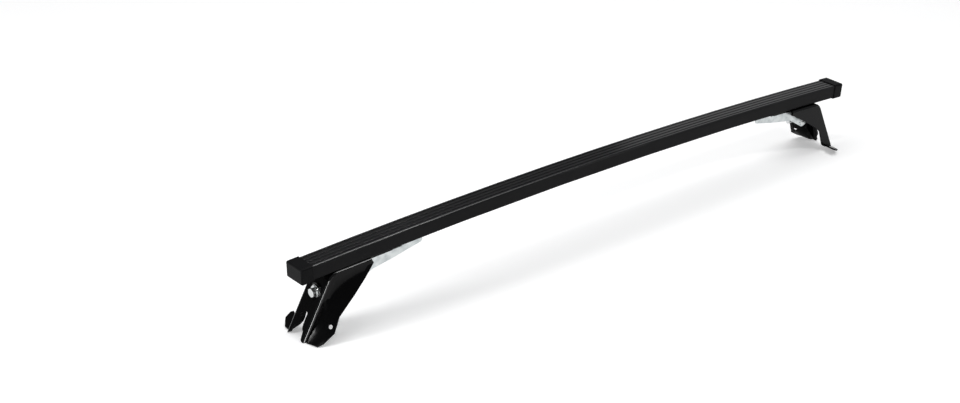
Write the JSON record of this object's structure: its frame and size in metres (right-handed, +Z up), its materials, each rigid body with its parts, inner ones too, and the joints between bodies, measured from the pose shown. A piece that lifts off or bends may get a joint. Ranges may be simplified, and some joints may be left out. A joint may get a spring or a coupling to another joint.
{
  "type": "roof rack crossbar",
  "caption": "Bowed crossbar for a car's roof: a steel tube in a ribbed black coat, with end caps and clamp feet that a bolt draws in along the bar.",
  "frame": {"origin": "on the ground under the middle of the bar: the lower foot's toes touch the ground", "axes": "+X along the bar, +Y the way the car drives, +Z up"},
  "size_m": [1.1998, 0.103, 0.1357],
  "materials": {
    "tube_steel": "plain mill steel",
    "bar_coat": "satin black",
    "cap_plastic": "satin black with a fine grain",
    "foot_paint": "gloss black powder coat",
    "arm_zinc": "pale bright zinc plate",
    "fastener_zinc": "bright zinc plate"
  },
  "bodies": {
    "bar": {"bar_tube": "tube_steel", "bar_coat": "bar_coat", "left_end_cap": "cap_plastic", "right_end_cap": "cap_plastic", "left_arm": "arm_zinc", "right_arm": "arm_zinc", "left_barrel_nut": "fastener_zinc", "right_barrel_nut": "fastener_zinc", "left_arm_screws": "fastener_zinc", "right_arm_screws": "fastener_zinc", "left_screw_washers": "fastener_zinc", "right_screw_washers": "fastener_zinc", "left_nut_plate": "tube_steel", "right_nut_plate": "tube_steel"},
    "left_clamp": {"left_foot": "foot_paint", "left_bolt_washer": "fastener_zinc"},
    "right_clamp": {"right_foot": "foot_paint", "right_bolt_washer": "fastener_zinc"},
    "left_bolt": {"left_clamp_bolt": "fastener_zinc"},
    "right_bolt": {"right_clamp_bolt": "fastener_zinc"}
  },
  "joints": [
    {"name": "left_foot_slide", "type": "slide", "parent": "bar", "child": "left_clamp", "axis": [-0.9992, 0, -0.0394], "range_m": [-0.016, 0.004]},
    {"name": "right_foot_slide", "type": "slide", "parent": "bar", "child": "right_clamp", "axis": [0.9992, 0, -0.0394], "range_m": [-0.004, 0.016]},
    {"name": "left_bolt_turn", "type": "hinge", "parent": "left_clamp", "child": "left_bolt", "pos_m": [-0.5599, 0, 0.06656], "axis": [-0.9992, 0, -0.0394], "range_deg": [-4608, 1152]},
    {"name": "right_bolt_turn", "type": "hinge", "parent": "right_clamp", "child": "right_bolt", "pos_m": [0.5479, 0, 0.06703], "axis": [0.9992, 0, -0.0394], "range_deg": [-1152, 4608]}
  ],
  "couplings": [
    {"joint": "left_bolt_turn", "follows": "left_foot_slide", "rad_per_m": 5026.5},
    {"joint": "right_bolt_turn", "follows": "right_foot_slide", "rad_per_m": 5026.5}
  ]
}
